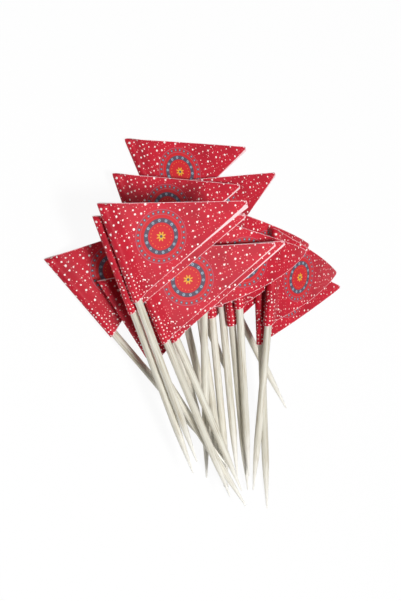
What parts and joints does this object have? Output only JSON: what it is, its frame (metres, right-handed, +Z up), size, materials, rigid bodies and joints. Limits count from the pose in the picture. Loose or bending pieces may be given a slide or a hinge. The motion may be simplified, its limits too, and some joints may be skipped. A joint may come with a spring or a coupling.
{
  "type": "party flag picks",
  "caption": "Loose heap of pointed wooden picks, each with a folded red dotted paper pennant glued round its blunt end, for decorating party food.",
  "frame": {"origin": "on the table, under the middle of the heap", "axes": "+Z up; the sticks point towards -Y and the pennants reach towards +X"},
  "size_m": [0.098, 0.1078, 0.0336],
  "materials": {
    "wood": "plain sanded birch, matte",
    "paper": "printed paper, satin"
  },
  "bodies": {
    "pick_01": {"pick_01_stick": "wood", "pick_01_flag": "paper"},
    "pick_02": {"pick_02_stick": "wood", "pick_02_flag": "paper"},
    "pick_03": {"pick_03_stick": "wood", "pick_03_flag": "paper"},
    "pick_04": {"pick_04_stick": "wood", "pick_04_flag": "paper"},
    "pick_05": {"pick_05_stick": "wood", "pick_05_flag": "paper"},
    "pick_06": {"pick_06_stick": "wood", "pick_06_flag": "paper"},
    "pick_07": {"pick_07_stick": "wood", "pick_07_flag": "paper"},
    "pick_08": {"pick_08_stick": "wood", "pick_08_flag": "paper"},
    "pick_09": {"pick_09_stick": "wood", "pick_09_flag": "paper"},
    "pick_10": {"pick_10_stick": "wood", "pick_10_flag": "paper"},
    "pick_11": {"pick_11_stick": "wood", "pick_11_flag": "paper"},
    "pick_12": {"pick_12_stick": "wood", "pick_12_flag": "paper"},
    "pick_13": {"pick_13_stick": "wood", "pick_13_flag": "paper"},
    "pick_14": {"pick_14_stick": "wood", "pick_14_flag": "paper"},
    "pick_15": {"pick_15_stick": "wood", "pick_15_flag": "paper"},
    "pick_16": {"pick_16_stick": "wood", "pick_16_flag": "paper"},
    "pick_17": {"pick_17_stick": "wood", "pick_17_flag": "paper"},
    "pick_18": {"pick_18_stick": "wood", "pick_18_flag": "paper"}
  },
  "joints": [
    {"name": "pick_02_lift", "type": "slide", "parent": "pick_01", "child": "pick_02", "axis": [0, 0, 1], "range_m": [0, 0.01]},
    {"name": "pick_03_lift", "type": "slide", "parent": "pick_02", "child": "pick_03", "axis": [0, 0, 1], "range_m": [0, 0.01]},
    {"name": "pick_04_lift", "type": "slide", "parent": "pick_03", "child": "pick_04", "axis": [0, 0, 1], "range_m": [0, 0.01]},
    {"name": "pick_05_lift", "type": "slide", "parent": "pick_04", "child": "pick_05", "axis": [0, 0, 1], "range_m": [0, 0.01]},
    {"name": "pick_06_lift", "type": "slide", "parent": "pick_05", "child": "pick_06", "axis": [0, 0, 1], "range_m": [0, 0.01]},
    {"name": "pick_07_lift", "type": "slide", "parent": "pick_06", "child": "pick_07", "axis": [0, 0, 1], "range_m": [0, 0.025]},
    {"name": "pick_08_lift", "type": "slide", "parent": "pick_07", "child": "pick_08", "axis": [0, 0, 1], "range_m": [0, 0.025]},
    {"name": "pick_09_lift", "type": "slide", "parent": "pick_08", "child": "pick_09", "axis": [0, 0, 1], "range_m": [0, 0.025]},
    {"name": "pick_10_lift", "type": "slide", "parent": "pick_09", "child": "pick_10", "axis": [0, 0, 1], "range_m": [0, 0.025]},
    {"name": "pick_11_lift", "type": "slide", "parent": "pick_10", "child": "pick_11", "axis": [0, 0, 1], "range_m": [0, 0.04]},
    {"name": "pick_12_lift", "type": "slide", "parent": "pick_11", "child": "pick_12", "axis": [0, 0, 1], "range_m": [0, 0.04]},
    {"name": "pick_13_lift", "type": "slide", "parent": "pick_12", "child": "pick_13", "axis": [0, 0, 1], "range_m": [0, 0.04]},
    {"name": "pick_14_lift", "type": "slide", "parent": "pick_13", "child": "pick_14", "axis": [0, 0, 1], "range_m": [0, 0.04]},
    {"name": "pick_15_lift", "type": "slide", "parent": "pick_14", "child": "pick_15", "axis": [0, 0, 1], "range_m": [0, 0.04]},
    {"name": "pick_16_lift", "type": "slide", "parent": "pick_15", "child": "pick_16", "axis": [0, 0, 1], "range_m": [0, 0.04]},
    {"name": "pick_17_lift", "type": "slide", "parent": "pick_16", "child": "pick_17", "axis": [0, 0, 1], "range_m": [0, 0.04]},
    {"name": "pick_18_lift", "type": "slide", "parent": "pick_17", "child": "pick_18", "axis": [0, 0, 1], "range_m": [0, 0.04]}
  ]
}
